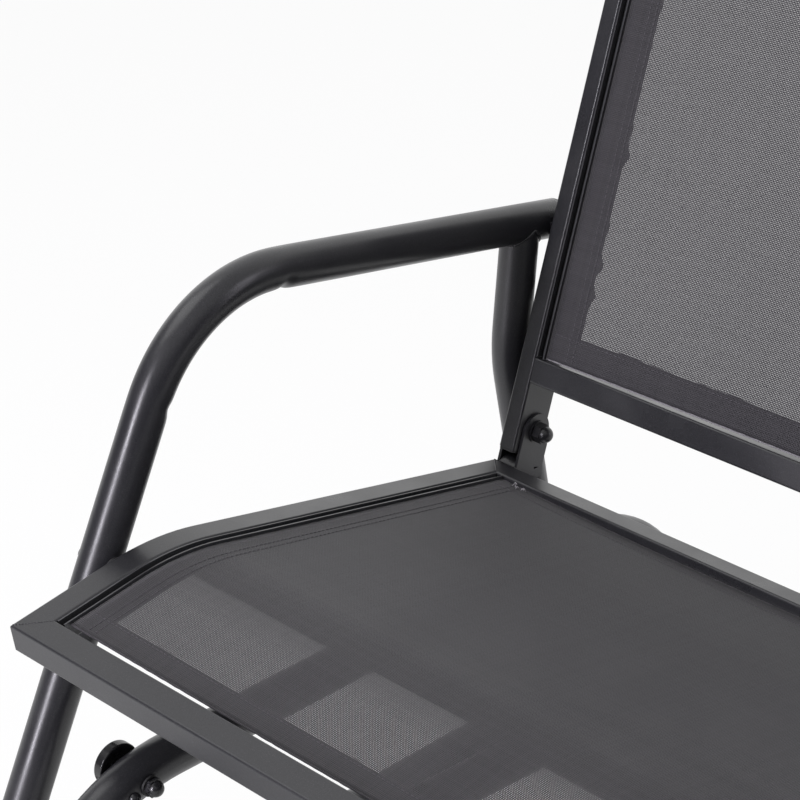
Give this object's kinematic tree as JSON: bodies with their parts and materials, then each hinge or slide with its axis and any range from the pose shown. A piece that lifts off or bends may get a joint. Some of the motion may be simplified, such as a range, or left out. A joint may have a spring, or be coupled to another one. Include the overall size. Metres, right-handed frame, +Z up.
{
  "type": "glider chair",
  "caption": "Patio rocking chair of steel tube with sling seat and back; its seat unit glides on swing links hung from a fixed arch base.",
  "frame": {"origin": "on the floor, under the middle of the chair's box", "axes": "+Z up, -Y towards the sitter's feet, +X to the side; X = 0 is the plane of symmetry"},
  "size_m": [0.6938, 0.8138, 0.8773],
  "materials": {
    "powder_coat": "satin charcoal powder coat with a fine metallic grain",
    "link_finish": "satin black enamel",
    "black_hardware": "black zinc and black caps",
    "black_plastic": "moulded black plastic",
    "nylon": "self-lubricating black nylon",
    "sling_channel": "extruded channel, charcoal coat worn bright on the lip",
    "sling_mesh": "woven PVC-coated polyester mesh, grey",
    "pad_rubber": "moulded rubber"
  },
  "bodies": {
    "base": {"arch_left": "powder_coat", "arch_right": "powder_coat", "foot_bar_front": "powder_coat", "foot_bar_rear": "powder_coat", "foot_end_caps": "black_plastic", "foot_pads": "pad_rubber", "upper_pivot_bolts": "black_hardware", "upper_pivot_nuts": "black_hardware", "upper_pivot_washers": "nylon", "arch_splice_screws": "black_hardware"},
    "front_links": {"link_front_left": "link_finish", "link_front_right": "link_finish", "link_bushes_front": "nylon"},
    "rear_links": {"link_rear_left": "link_finish", "link_rear_right": "link_finish", "link_bushes_rear": "nylon"},
    "seat_unit": {"arm_loop_left": "powder_coat", "arm_loop_right": "powder_coat", "tube_end_plugs": "black_plastic", "arm_plate_left": "powder_coat", "arm_plate_right": "powder_coat", "rear_leg_left": "powder_coat", "rear_leg_right": "powder_coat", "lower_cross_tube_front": "powder_coat", "lower_cross_tube_rear": "powder_coat", "link_clevis_front_left": "powder_coat", "link_clevis_front_right": "powder_coat", "link_clevis_rear_left": "powder_coat", "link_clevis_rear_right": "powder_coat", "lower_pivot_bolts": "black_hardware", "lower_pivot_nuts": "black_hardware", "seat_side_rail_left": "powder_coat", "seat_side_rail_right": "powder_coat", "seat_front_rail": "powder_coat", "seat_rear_rail": "powder_coat", "seat_cross_tube_front": "powder_coat", "seat_cross_tube_rear": "powder_coat", "seat_centre_tube": "powder_coat", "seat_channel_left": "sling_channel", "seat_channel_right": "sling_channel", "seat_spline_left": "nylon", "seat_spline_right": "nylon", "seat_sling": "sling_mesh", "back_stile_left": "powder_coat", "back_stile_right": "powder_coat", "back_top_rail": "powder_coat", "back_bottom_rail": "powder_coat", "back_channel_left": "sling_channel", "back_channel_right": "sling_channel", "back_spline_left": "nylon", "back_spline_right": "nylon", "back_sling": "sling_mesh", "stile_end_plugs": "black_plastic", "back_bracket_left": "powder_coat", "back_bracket_right": "powder_coat", "frame_bolts": "black_hardware", "frame_nuts": "black_hardware", "frame_spacers": "nylon", "bracket_washers": "black_hardware"}
  },
  "joints": [
    {"name": "front_swing", "type": "hinge", "parent": "base", "child": "front_links", "pos_m": [0, -0.2445, 0.32429], "axis": [1, 0, 0], "range_deg": [-14, 14]},
    {"name": "seat_level", "type": "hinge", "parent": "front_links", "child": "seat_unit", "pos_m": [0, -0.2445, 0.13], "axis": [1, 0, 0], "range_deg": [-14, 14]},
    {"name": "rear_swing", "type": "hinge", "parent": "base", "child": "rear_links", "pos_m": [0, 0.2445, 0.32429], "axis": [1, 0, 0], "range_deg": [-14, 14]}
  ],
  "couplings": [
    {"joint": "seat_level", "follows": "front_swing", "ratio": -1},
    {"joint": "rear_swing", "follows": "front_swing", "ratio": 1}
  ]
}
